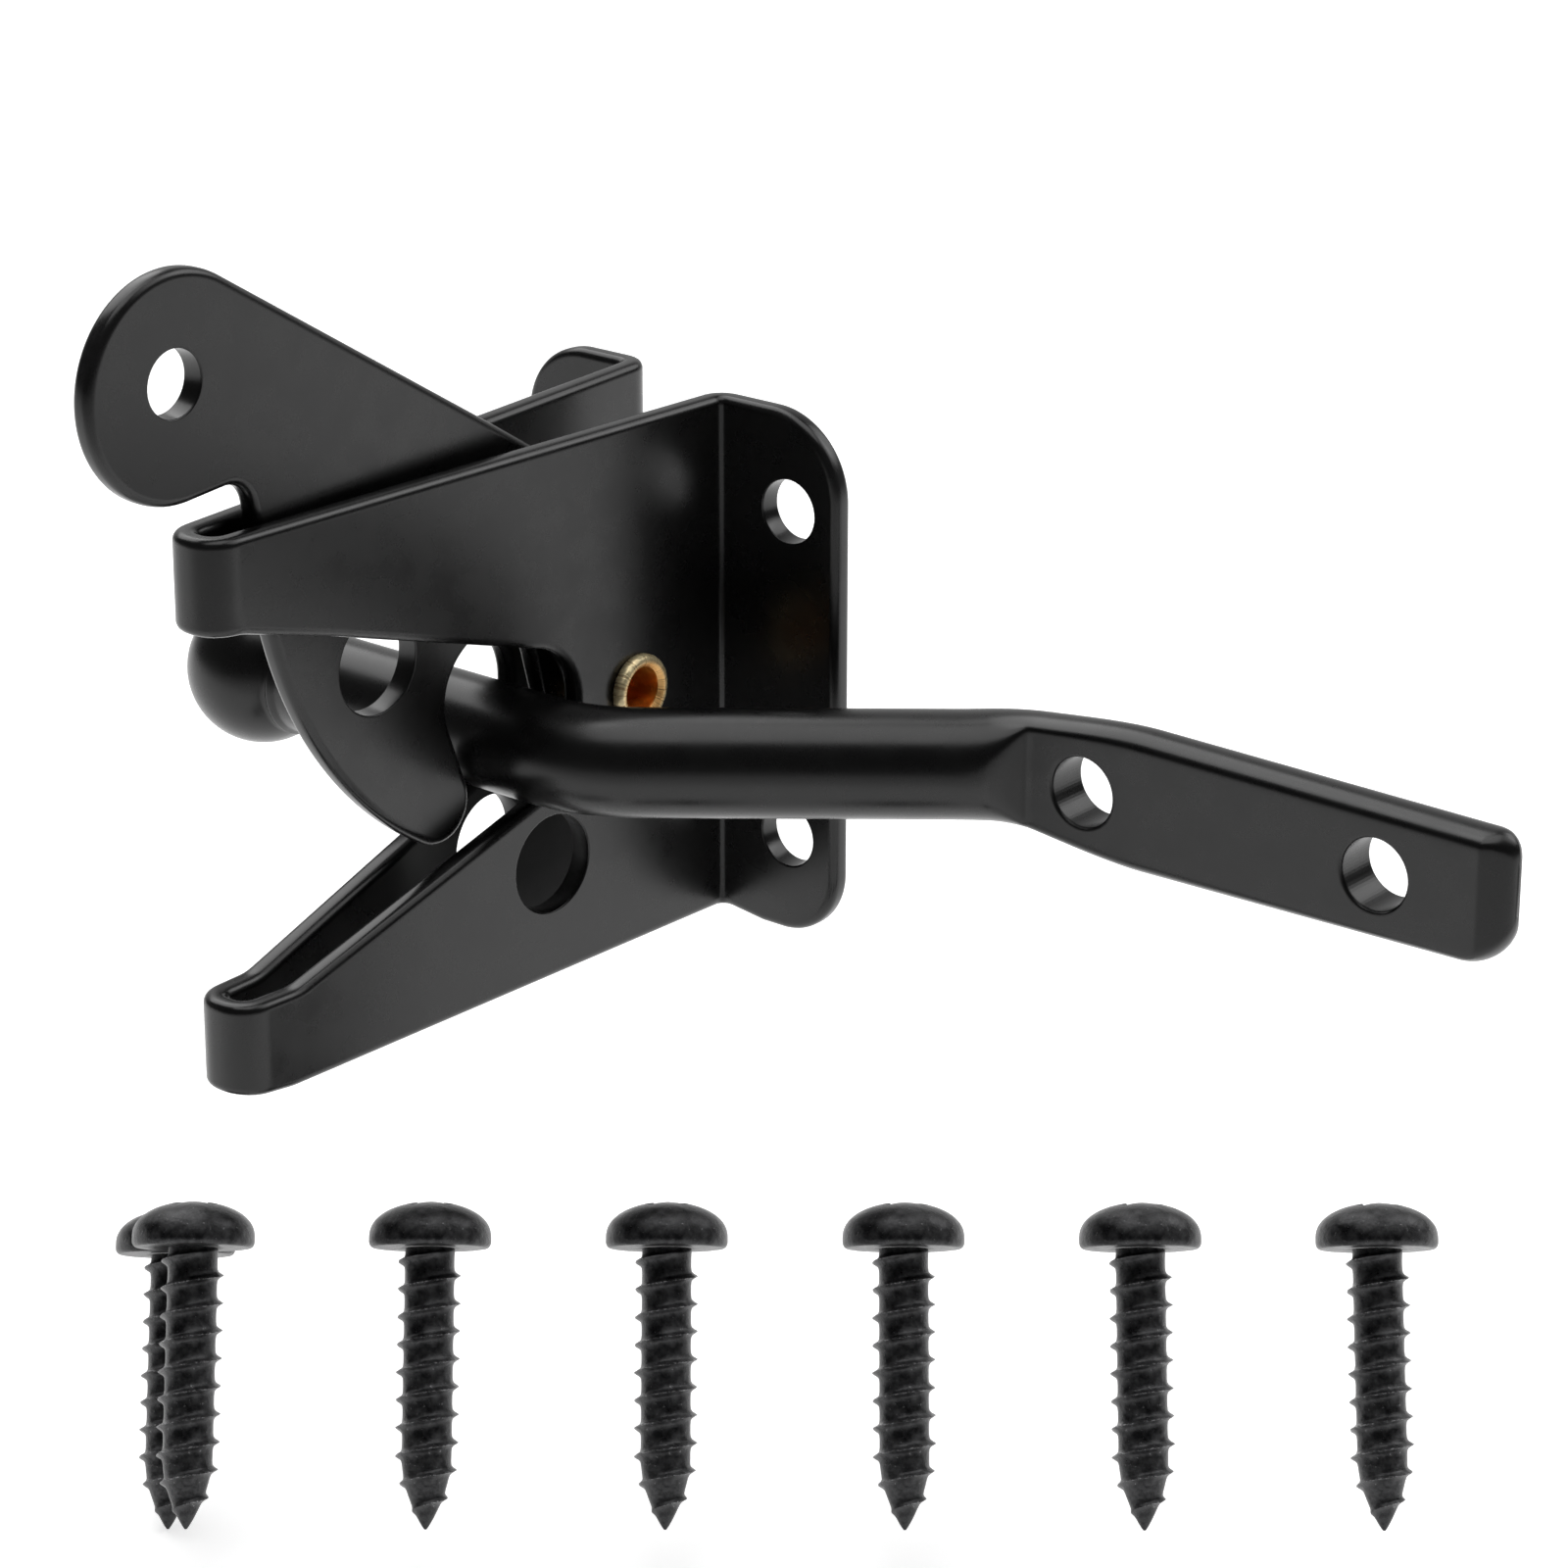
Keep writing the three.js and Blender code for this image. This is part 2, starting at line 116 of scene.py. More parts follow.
# Striker bar: round stock with a ball at one end and a pressed flat at the other.
BAR_RADIUS = 5
BAR_Y = -27.1
BALL_X = -30
BALL_RADIUS = 7.3
COLLAR_X = BALL_X + 5.75
COLLAR_HEIGHT = 0.45
COLLAR_WIDTH = 0.32
ROUND_UNTIL_X = BALL_X + 10
FIRST_BEND = (11.1, 14)
SECOND_BEND = (41.6, 9)
FLAT_START_X = 43.5
FLAT_THICKNESS = 4.7
PRESS_LENGTH = 7
PRESS_NARROWING = 0.13
PRESS_SHARPNESS = 14
FLAT_GROWTH = (37, 56)
FLAT_WIDEST = 6.6
FLAT_END_HALF_HEIGHT = 6.1
FLAT_END_CORNERS = (2.2, 4.6)
FLAT_END_BULGE = 1.2
FLAT_END_DEPTH = 2.6
STRIKER_HOLE_RADIUS = 3.25
STRIKER_HOLE_EDGE = 0.35
BAR_STEP = 0.35
BAR_STEPS_AROUND = 120
POLE_REACH = 2

# Wood screw.
SCREW_LENGTH = 24.6
SCREW_CORE = 2.2
SCREW_THREAD = 2.8
SCREW_PITCH = 2.43
SCREW_TIP = 6.4
SCREW_PLAIN = 1.2
SCREW_HEAD_RADIUS = 5.45
SCREW_HEAD_HEIGHT = 4.1
SCREW_ROW_DIRECTION = 39.7
SCREW_LEAN = 30.5
CREST_WIDTH = 0.24

# How finely the shapes are drawn.
SHEET_EDGE = 0.8
HOLE_EDGE = 0.16
EDGE_STEPS = 6
GUARD = 0.06
OUTLINE_STEP = 0.45
FACE_STEP = 1.6
BEND_STEP = 0.32
FOLD_STEP = 0.08
CLEAR_OF_RIM = 0.3
TURNED_STEPS = 72

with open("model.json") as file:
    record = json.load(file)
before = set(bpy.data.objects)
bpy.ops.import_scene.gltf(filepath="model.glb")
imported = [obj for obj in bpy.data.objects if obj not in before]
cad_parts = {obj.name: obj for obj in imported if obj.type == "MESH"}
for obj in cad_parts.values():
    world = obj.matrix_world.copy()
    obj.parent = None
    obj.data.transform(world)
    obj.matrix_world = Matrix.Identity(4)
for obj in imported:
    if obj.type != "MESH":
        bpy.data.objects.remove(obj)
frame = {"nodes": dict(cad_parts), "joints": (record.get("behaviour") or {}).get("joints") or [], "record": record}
CAD_LOW, CAD_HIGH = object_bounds()
RECORD = frame["record"]
PIVOT = [v / MM for v in next(j for j in frame["joints"] if j["name"] == "lever_pivot")["pos_m"]]


# ---- Places ----


def opening(name):
    """The middle of one of the record's openings, in millimetres."""
    found = next(o for o in RECORD["physics"]["openings"] if o["name"] == name)
    low, high = found["box_m"]
    return [(a + b) / 2 / MM for a, b in zip(low, high)]


def node_box(name):
    """A CAD node's lowest and highest corner, in millimetres."""
    low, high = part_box(name)
    return np.array(low) / MM, np.array(high) / MM


# ---- Outlines ----


def unit(v):
    return v / np.linalg.norm(v)


def rounded(corners, closed=True):
    """Points through corners (a, b, radius), where a corner with a radius becomes an arc."""
    points = []
    for i, (a, b, radius) in enumerate(corners):
        corner = np.array([a, b], float)
        if radius == 0 or (not closed and i in (0, len(corners) - 1)):
            points.append(corner)
            continue
        before = unit(np.array(corners[i - 1][:2]) - corner)
        after = unit(np.array(corners[(i + 1) % len(corners)][:2]) - corner)
        half = math.acos(np.clip(before @ after, -1, 1)) / 2
        centre = corner + unit(before + after) * radius / math.sin(half)
        first = corner + before * radius / math.tan(half) - centre
        turn = math.pi - 2 * half
        side = math.copysign(1, before[1] * after[0] - before[0] * after[1])
        start = math.atan2(first[1], first[0])
        for t in np.linspace(0, 1, max(3, math.ceil(radius * turn / OUTLINE_STEP * 1.5))):
            angle = start + side * turn * t
            points.append(centre + radius * np.array([math.cos(angle), math.sin(angle)]))
    return np.array(points)


def arc(circle, start, end):
    """Points on circle (a, b, radius) between two angles in degrees."""
    a, b, radius = circle
    steps = max(4, math.ceil(abs(math.radians(end - start)) * radius / OUTLINE_STEP))
    angles = np.radians(np.linspace(start, end, steps + 1))
    return np.stack([a + radius * np.cos(angles), b + radius * np.sin(angles)], 1)


def round_hole(a, b, radius):
    return arc((a, b, radius), 0, 360)[:-1]


def densify(points, step, closed=True):
    """The same line with no repeated points, and no two neighbours further apart than step."""
    last = len(points) if closed else len(points) - 1
    out = []
    for i in range(last):
        a, b = points[i], points[(i + 1) % len(points)]
        steps = math.ceil(np.linalg.norm(b - a) / step - 1e-6)
        out.extend(a + (b - a) * t / steps for t in range(steps))
    if not closed:
        out.append(points[-1])
    return np.array(out)


def turned(loop, anticlockwise):
    a, b = loop[:, 0], loop[:, 1]
    area = np.sum(a * np.roll(b, -1) - np.roll(a, -1) * b)
    return loop if (area > 0) == anticlockwise else loop[::-1]


def inside(points, loops):
    """Which points lie inside an odd number of loops."""
    found = np.zeros(len(points), bool)
    for loop in loops:
        a, b = loop, np.roll(loop, -1, 0)
        for start in range(0, len(points), 2000):
            p = points[start:start + 2000, None]
            crosses = (a[:, 1] > p[..., 1]) != (b[:, 1] > p[..., 1])
            rise = np.where(b[:, 1] == a[:, 1], 1, b[:, 1] - a[:, 1])
            at = a[:, 0] + (p[..., 1] - a[:, 1]) / rise * (b[:, 0] - a[:, 0])
            found[start:start + 2000] ^= (np.sum(crosses & (p[..., 0] < at), 1) % 2).astype(bool)
    return found


# ---- Meshes ----


def add_piece(name, points, faces, material, body, nodes, rim=None):
    """A smooth-shaded object from points in millimetres, standing for CAD nodes on a body."""
    mesh = bpy.data.meshes.new(name)
    mesh.from_pydata((np.asarray(points) * MM).tolist(), [], faces)
    mesh.validate()
    if rim is not None:
        add_weights(mesh, "rim", rim)
    return add_object(name, mesh, material, body, nodes)


def add_weights(mesh, name, weights):
    mesh.attributes.new(name, "FLOAT", "POINT").data.foreach_set("value", np.float32(weights))


def add_object(name, mesh, material, body, nodes):
    mesh.polygons.foreach_set("use_smooth", [True] * len(mesh.polygons))
    mesh.materials.clear()
    mesh.materials.append(material)
    piece = bpy.data.objects.new(name, mesh)
    bpy.context.scene.collection.objects.link(piece)
    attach(piece, body)
    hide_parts(*nodes)
    return piece


def grid_faces(rows, columns, wrap=True):
    """Quads over a grid of points numbered row by row, closed round the columns if wrap."""
    last = columns if wrap else columns - 1
    return [
        (r * columns + c, r * columns + (c + 1) % columns,
         (r + 1) * columns + (c + 1) % columns, (r + 1) * columns + c)
        for r in range(rows - 1) for c in range(last)
    ]


def end_faces(count, ring):
    """The first and the last ring of a tube of count points as two faces."""
    return [tuple(reversed(range(ring))), tuple(range(count - ring, count))]


def edge_profile(half, radius):
    """(inset, height) pairs from the front face, round the rim, to the back face."""
    quarter = [
        (radius * (1 - math.cos(a)), half - radius * (1 - math.sin(a)))
        for a in np.radians(np.linspace(90, 0, EDGE_STEPS + 1))
    ]
    front = [(radius + GUARD, half)] + quarter
    return front + [(inset, -height) for inset, height in reversed(front)]


def face_points(loops, step, bends):
    """Points over a face, closer together across each bend (low, high) of the first axis."""
    low = np.min(loops[0], 0)
    high = np.max(loops[0], 0)
    a = np.arange(low[0], high[0], step)
    for start, end in bends:
        a = np.concatenate([a[(a < start) | (a > end)], np.arange(start, end, BEND_STEP)])
    b = np.arange(low[1], high[1], step)
    grid = np.stack(np.meshgrid(np.sort(a), b, indexing="ij"), -1).reshape(-1, 2)
    grid = grid[inside(grid, loops)]
    rim = np.concatenate(loops)
    far = [np.min(np.sum((rim - p) ** 2, 1)) > CLEAR_OF_RIM ** 2 for p in grid]
    return grid[np.array(far)]


def rounded_plate(loops, thickness, place, bends=()):
    """Points, faces and rim weights of a plate with rounded edges.

    Each loop comes with the radius of its edge, the outline first. The function place turns
    two distances over the plate and one through it into points.
    """
    points, faces, rim, caps, edges = [], [], [], [], []
    flat_count = 0
    for loop, radius in loops:
        loop = turned(densify(loop, OUTLINE_STEP), not caps)
        profile = edge_profile(thickness / 2, radius)
        along = unit_rows(np.roll(loop, -1, 0) - np.roll(loop, 1, 0))
        inward = np.stack([-along[:, 1], along[:, 0]], 1)
        base, count = len(points), len(loop)
        for inset, height in profile:
            ring = loop + inward * inset
            points.extend((a, b, height) for a, b in ring)
            rim.extend([max(0.0, 1 - inset / radius)] * count)
        faces.extend((f[0], f[3], f[2], f[1]) for f in offset_faces(grid_faces(len(profile), count), base))
        caps.append((base, base + (len(profile) - 1) * count, loop + inward * profile[0][0]))
        edges.extend((flat_count + i, flat_count + (i + 1) % count) for i in range(count))
        flat_count += count
    rings = [np.float32(ring).astype(float) for _, _, ring in caps]
    middle = np.float32(face_points(rings, FACE_STEP, bends)).astype(float)
    sides = []
    for side, height in ((0, thickness / 2), (1, -thickness / 2)):
        ids = [np.arange(len(cap[2])) + cap[side] for cap in caps]
        sides.append(np.concatenate(ids + [np.arange(len(middle)) + len(points)]))
        points.extend((a, b, height) for a, b in middle)
        rim.extend([0.0] * len(middle))
    for triangle in triangles(np.concatenate(rings + [middle]), edges, rings):
        faces.append(tuple(int(sides[0][i]) for i in triangle))
        faces.append(tuple(int(sides[1][i]) for i in reversed(triangle)))
    return place(*np.array(points, float).T), faces, rim


def unit_rows(rows):
    return rows / np.linalg.norm(rows, axis=1, keepdims=True)


def offset_faces(faces, base):
    return [tuple(i + base for i in face) for face in faces]


def triangles(points, edges, loops):
    """Anticlockwise triangles over the points, within the loops and along the given edges.

    The points are single-precision numbers, as the triangulation works with those.
    """
    _, _, faces, origins, _, _ = delaunay_2d_cdt([Vector(p) for p in points.tolist()], edges, [], 0, 1e-6)
    corners = np.array([[origins[i][0] for i in face] for face in faces])
    return corners[inside(points[corners].mean(1), loops)].tolist()


# ---- Housing ----


def plate_x(y):
    return PLATE_HALF_WIDTH + PLATE_TAPER * (y + SHEET)


class FoldedStrap:
    """The middle of the folded sheet seen from above, from the nose out to the right flange's tip."""

    def __init__(self, nose_y, tip_x):
        half = SHEET / 2
        nose_x = plate_x(nose_y)
        corners = [
            (0, nose_y + half, 0),
            (nose_x - half, nose_y + half, nose_x * NOSE_ROUNDING - half),
            (plate_x(-half) - half, -half, BEND_INSIDE_RADIUS + half),
            (tip_x, -half, 0),
        ]
        self.line = densify(rounded(corners, closed=False), FOLD_STEP, closed=False)
        steps = np.linalg.norm(np.diff(self.line, axis=0), axis=1)
        self.along = np.concatenate([[0], np.cumsum(steps)])
        tangent = unit_rows(np.gradient(self.line, axis=0))
        self.outward = np.stack([tangent[:, 1], -tangent[:, 0]], 1)
        self.length = self.along[-1]

    def from_tip(self, y):
        """The distance along the sheet from the flange's tip back to depth y on the plate."""
        return self.length - np.interp(y, self.line[:, 1], self.along)

    def point(self, from_tip, offset):
        s = self.length - from_tip
        xy = [np.interp(s, self.along, self.line[:, i]) for i in (0, 1)]
        out = [np.interp(s, self.along, self.outward[:, i]) for i in (0, 1)]
        size = np.hypot(*out)
        return xy[0] + out[0] / size * offset, xy[1] + out[1] / size * offset


class Blank:
    """The flat sheet before it is folded: s runs from the nose outwards, and the left half is minus."""

    def __init__(self, tip_x):
        self.lower = FoldedStrap(LOWER_NOSE_Y, tip_x)
        self.upper = FoldedStrap(UPPER_NOSE_Y, tip_x)
        self.tip_x = tip_x
        self.extra = self.upper.length - self.lower.length
        self.split = self.lower.length - self.lower.from_tip(STRAP_SPLIT_Y)

    def s(self, y, upper=False):
        """Where depth y of the plate lies on the blank."""
        if not upper:
            return float(self.lower.length - self.lower.from_tip(y))
        plain = float(self.lower.length - self.upper.from_tip(y))
        if plain > self.split:
            return plain
        return (plain + self.extra) / (1 + self.extra / self.split)

    def s_at_x(self, x):
        """Where a point x of the flange lies on the blank."""
        return self.lower.length - (self.tip_x - x)

    def fold(self, s, z, offset):
        side = np.where(s < 0, -1, 1)
        from_tip = self.lower.length - np.abs(s)
        stretch = self.extra * np.clip(1 - np.abs(s) / self.split, 0, 1)
        low = self.lower.point(from_tip, offset)
        high = self.upper.point(from_tip + stretch, offset)
        x = np.where(z < 0, low[0], high[0])
        y = np.where(z < 0, low[1], high[1])
        return np.stack([x * side, y, z], 1)


def blank_outline(blank, left_x):
    tip, left = blank.s_at_x(blank.tip_x), -blank.s_at_x(-left_x)
    ramp = [blank.s_at_x(x) for x in FLANGE_RAMP]
    straight_y, straight_z = BOTTOM_STRAIGHT_END
    straight = blank.s(straight_y)
    nose_y, nose_z = BOTTOM_AT_NOSE
    nose = blank.s(nose_y)
    post = blank.s(-SHEET)
    return rounded([
        (tip, BOTTOM_AT_FLANGE, FLANGE_BOTTOM_RADIUS),
        (tip, TOP, FLANGE_TOP_RADIUS),
        (0, TOP, 0),
        (-post, TOP_AT_LEFT_FLANGE, 20),
        (left, TOP_AT_LEFT_FLANGE, FLANGE_TOP_RADIUS - 1),
        (left, BOTTOM_AT_FLANGE, FLANGE_BOTTOM_RADIUS),
        (-ramp[1], BOTTOM_AT_FLANGE, 3),
        (-ramp[0], BOTTOM_AT_POST, 3),
        (-straight, straight_z, 12),
        (-nose, nose_z, 8),
        (nose, nose_z, 8),
        (straight, straight_z, 12),
        (ramp[0], BOTTOM_AT_POST, 3),
        (ramp[1], BOTTOM_AT_FLANGE, 3),
    ])


def mouth_outline(blank):
    throat = blank.s(THROAT_Y)
    upper = blank.s(UPPER_EDGE_AT_NOSE[0], upper=True)
    lower = blank.s(LOWER_EDGE_AT_NOSE[0])
    right = [
        (upper, UPPER_EDGE_AT_NOSE[1], MOUTH_NOSE_RADIUS),
        (throat, *THROAT_TOP),
        (throat, *THROAT_BOTTOM),
        (lower, LOWER_EDGE_AT_NOSE[1], MOUTH_NOSE_RADIUS),
    ]
    return rounded(right + [(-a, b, radius) for a, b, radius in reversed(right)])


def make_housing(material):
    low, high = node_box("housing")
    blank = Blank(high[0])
    padlock, pivot = opening("padlock_hole"), PIVOT
    holes = []
    for side in (1, -1):
        holes.append(round_hole(side * blank.s(padlock[1]), padlock[2], PADLOCK_HOLE_RADIUS))
        holes.append(round_hole(side * blank.s(pivot[1]), pivot[2], PIVOT_HOLE_RADIUS))
    for corner in ("right_top", "right_bottom", "left_top", "left_bottom"):
        x, _, z = opening("flange_hole_" + corner)
        holes.append(round_hole(math.copysign(blank.s_at_x(abs(x)), x), z, FLANGE_HOLE_RADIUS))
    bend = (blank.s(-SHEET - 1.5), blank.s_at_x(7.6))
    nose = blank.s(UPPER_NOSE_Y + 5)
    bends = [bend, (-bend[1], -bend[0]), (-nose, nose)]
    loops = [(blank_outline(blank, low[0]), SHEET_EDGE), (mouth_outline(blank), SHEET_EDGE)]
    loops += [(hole, HOLE_EDGE) for hole in holes]
    points, faces, rim = rounded_plate(loops, SHEET, blank.fold, bends)
    piece = add_piece("housing_sheet", points, faces, material, "latch_body", ["housing"], rim)
    x, y, z = points.T
    within = (np.abs(x) < plate_x(y) - SHEET * 0.8) & (y < -0.1)
    deep = within * smoothstep(y, *DEEP_Y) * (1 - smoothstep(z, *DEEP_Z))
    add_weights(piece.data, "deep", deep)


# ---- Lever ----


def lever_outline():
    start, end = TAIL_BACK_SPAN
    reach = TAIL_BACK[2] - TAIL_TIP_RADIUS
    tip = (TAIL_BACK[0] + reach * math.cos(math.radians(end)),
           TAIL_BACK[1] + reach * math.sin(math.radians(end)), TAIL_TIP_RADIUS)
    hub = (PIVOT[1], PIVOT[2], HUB_RADIUS)
    apart = math.dist(hub[:2], HEEL[:2])
    towards_hub = math.atan2(hub[1] - HEEL[1], hub[0] - HEEL[0])
    back_edge = math.degrees(towards_hub + math.acos((HEEL[2] - HUB_RADIUS) / apart))
    return np.concatenate([
        arc(LOBE, TOP_EDGE_NORMAL, LOBE_END),
        arc(NOTCH, LOBE_END - 180, 9),
        arc(TAIL_BACK, start, end),
        arc(tip, end, 360 + SLOT_TILT),
        arc(BAR_SLOT, 180 + SLOT_TILT, SLOT_TILT),
        arc(hub, 180 + SLOT_TILT, 360 + back_edge),
        arc(HEEL, back_edge, TOP_EDGE_NORMAL),
    ])


def make_lever(material):
    _, cable_y, cable_z = opening("lever_cable_hole")
    _, tail_y, tail_z = opening("lever_tail_hole")
    holes = [
        round_hole(cable_y, cable_z, CABLE_HOLE_RADIUS),
        round_hole(tail_y, tail_z, TAIL_HOLE_RADIUS),
        round_hole(PIVOT[1], PIVOT[2], PIVOT_HOLE_RADIUS),
    ]
    loops = [(lever_outline(), SHEET_EDGE)] + [(hole, HOLE_EDGE) for hole in holes]
    points, faces, rim = rounded_plate(loops, LEVER_THICKNESS, lambda y, z, x: np.stack([x, y, z], 1))
    add_piece("lever_plate", points, faces, material, "lever", ["lever"], rim)


# ---- Round shapes ----


def revolved(profile, steps, wobble=None, ring=False):
    """Points and faces of (radius, height) pairs turned about the third axis; a ring joins last to first."""
    angles = np.arange(steps) / steps * 2 * math.pi
    points = []
    for i, (radius, height) in enumerate(profile):
        r = radius + (wobble(i, angles) if wobble else 0)
        points.append(np.stack([r * np.cos(angles), r * np.sin(angles), np.full(steps, height)], 1))
    faces = grid_faces(len(profile), steps)
    if ring:
        last = (len(profile) - 1) * steps
        faces += [(last + c, last + (c + 1) % steps, (c + 1) % steps, c) for c in range(steps)]
    return np.concatenate(points), faces


# ---- Rivet ----


def make_rivet(brass, bore):
    low, high = node_box("pivot_rivet")
    head = (high[2] - low[2]) / 2 - RIVET_TRIM
    end = high[0]
    under = plate_x(PIVOT[1]) - 0.03
    roll = [
        (head - RIVET_ROLL * (1 - math.cos(a)), end - RIVET_ROLL * (1 - math.sin(a)))
        for a in np.radians(np.linspace(0, 90, 7))
    ]
    mouth = [
        (RIVET_BORE + RIVET_CHAMFER * (1 - t), end - RIVET_CHAMFER * t ** 1.6)
        for t in np.linspace(0, 1, 8)
    ]
    half = [(RIVET_SHANK, under), (head, under)] + roll + mouth
    profile = half + [(r, -x) for r, x in reversed(half)]

    def crumple(i, angles):
        row = min(i, len(profile) - 1 - i)
        if row < 2 or row > len(half) - len(mouth):
            return 0
        return 0.025 * np.sin(23 * angles + row) + 0.02 * np.sin(57 * angles + 2.3 * row)

    points, faces = revolved(profile, RIVET_STEPS, crumple, ring=True)
    points = points[:, [2, 0, 1]] + [0, PIVOT[1], PIVOT[2]]
    piece = add_piece("rivet_tube", points, faces, brass, "latch_body", ["pivot_rivet"])
    piece.data.materials.append(bore)
    for polygon in piece.data.polygons:
        centre = polygon.center / MM
        if math.dist(centre[1:], PIVOT[1:]) < RIVET_BORE + 0.1:
            polygon.material_index = 1


# ---- Striker bar ----


def smoothstep(x, low, high):
    t = np.clip((x - low) / (high - low), 0, 1)
    return t * t * (3 - 2 * t)


def bar_path(start_x, end_x):
    """The bar's centre line seen from above, from the ball's pole to the end of the flat."""
    flat_y = -FLAT_THICKNESS / 2
    (first_x, first_r), (second_x, second_r) = FIRST_BEND, SECOND_BEND
    corners = [
        (start_x, BAR_Y, 0), (first_x, BAR_Y, first_r), (second_x, flat_y, second_r), (end_x, flat_y, 0),
    ]
    return densify(rounded(corners, closed=False), BAR_STEP, closed=False)


def ball_radius(x):
    """The ball, its small collar and the start of the round bar."""
    across = BALL_RADIUS ** 2 - (x - BALL_X) ** 2
    ball = math.sqrt(max(across, 0))
    collar = BAR_RADIUS + COLLAR_HEIGHT * math.exp(-((x - COLLAR_X) / COLLAR_WIDTH) ** 2)
    return max(ball, 0.02) if x < BALL_X else max(ball, collar)


def bar_section(x, angles):
    """How far the surface lies across and up from the centre line, round the bar at x.

    Pressing clips the round bar between the two faces, and leaves its top and bottom round.
    """
    c, s = np.cos(angles), np.sin(angles)
    pressed = float(np.clip((x - FLAT_START_X) / PRESS_LENGTH + 1, 0, 1)) ** 2
    half = BAR_RADIUS + (FLAT_THICKNESS / 2 - BAR_RADIUS) * pressed
    spread = BAR_RADIUS * (1 - PRESS_NARROWING * pressed) * c / half
    clipped = half * spread / (1 + np.abs(spread) ** PRESS_SHARPNESS) ** (1 / PRESS_SHARPNESS)
    blend = min(1.0, pressed * 6)
    across = BAR_RADIUS * c * (1 - blend) + clipped * blend
    grown = BAR_RADIUS + (FLAT_WIDEST - BAR_RADIUS) * float(smoothstep(x, *FLAT_GROWTH))
    return across, s * grown


def make_striker(material):
    low, high = node_box("striker_bar")
    _, _, bar_z = opening("striker_hole_inner")
    path = bar_path(low[0], high[0])
    pole = low[0] + POLE_REACH * np.linspace(0, 1, 40) ** 2
    pole = np.stack([pole, np.full(len(pole), BAR_Y)], 1)
    path = np.concatenate([pole, path[path[:, 0] > low[0] + POLE_REACH + 0.01]])
    tip_x = high[0] + FLAT_END_BULGE
    end_length = FLAT_END_CORNERS[1]
    last = tip_x - end_length * (1 - np.sin(np.linspace(0.02, math.pi / 2, 36)))
    last = np.stack([last, np.full(len(last), -FLAT_THICKNESS / 2)], 1)
    path = np.concatenate([path[path[:, 0] < tip_x - end_length], last])
    tangent = unit_rows(np.gradient(path, axis=0))
    steps = BAR_STEPS_AROUND
    angles = np.arange(steps) / steps * 2 * math.pi
    points = []
    for (x, y), (tx, ty) in zip(path, tangent):
        if x < ROUND_UNTIL_X:
            radius = ball_radius(x)
            across, up = radius * np.cos(angles), radius * np.sin(angles)
        else:
            across, up = bar_section(x, angles)
            narrowed = max(0, (x - FLAT_GROWTH[1]) / (high[0] - FLAT_GROWTH[1]))
            up = up * (1 - (1 - FLAT_END_HALF_HEIGHT / FLAT_WIDEST) * narrowed)
            for corner, half in zip(FLAT_END_CORNERS, (up > 0, up < 0)):
                into_end = np.clip((x - tip_x) / corner + 1, 0, 1)
                cut = (1 - math.sqrt(1 - into_end ** 2)) * corner
                up = np.where(half, up * (1 - cut / FLAT_END_HALF_HEIGHT), up)
            into_face = np.clip((x - tip_x) / FLAT_END_DEPTH + 1, 0, 0.99)
            across = across * math.sqrt(1 - into_face)
        points.append(np.stack([x - ty * across, y + tx * across, bar_z + up], 1))
    faces = grid_faces(len(points), steps) + end_faces(len(points) * steps, steps)
    points = np.concatenate(points)
    piece = add_piece("striker_rod", points, faces, material, "striker", ["striker_bar"])
    for name in ("striker_hole_inner", "striker_hole_outer"):
        cut_hole(piece, opening(name))


def cut_hole(piece, centre):
    """Cuts a hole along Y whose rims are rounded where they meet the two faces."""
    half, radius, rim = FLAT_THICKNESS / 2, STRIKER_HOLE_RADIUS, STRIKER_HOLE_EDGE
    side = [
        (radius + rim * (1 - math.cos(a)), half - rim * (1 - math.sin(a)))
        for a in np.radians(np.linspace(0, 90, 6))
    ] + [(radius + rim, half + 3)]
    profile = [(r, -y) for r, y in reversed(side)] + side
    points, faces = revolved(profile, TURNED_STEPS)
    faces += end_faces(len(points), TURNED_STEPS)
    points = points[:, [1, 2, 0]] + [centre[0], -half, centre[2]]
    mesh = bpy.data.meshes.new("cutter")
    mesh.from_pydata((points * MM).tolist(), [], faces)
    subtract(piece, mesh)


def subtract(piece, cutter_mesh):
    cutter = bpy.data.objects.new("cutter", cutter_mesh)
    bpy.context.scene.collection.objects.link(cutter)
    modifier = piece.modifiers.new("cut", "BOOLEAN")
    modifier.operation = "DIFFERENCE"
    modifier.solver = "EXACT"
    modifier.object = cutter
    apply_modifiers(piece)
    bpy.data.objects.remove(cutter)


def apply_modifiers(piece):
    """Makes the piece's mesh what its modifiers show, and removes them."""
    graph = bpy.context.evaluated_depsgraph_get()
    mesh = bpy.data.meshes.new_from_object(piece.evaluated_get(graph))
    piece.modifiers.clear()
    piece.data = mesh


# ---- Wood screws ----


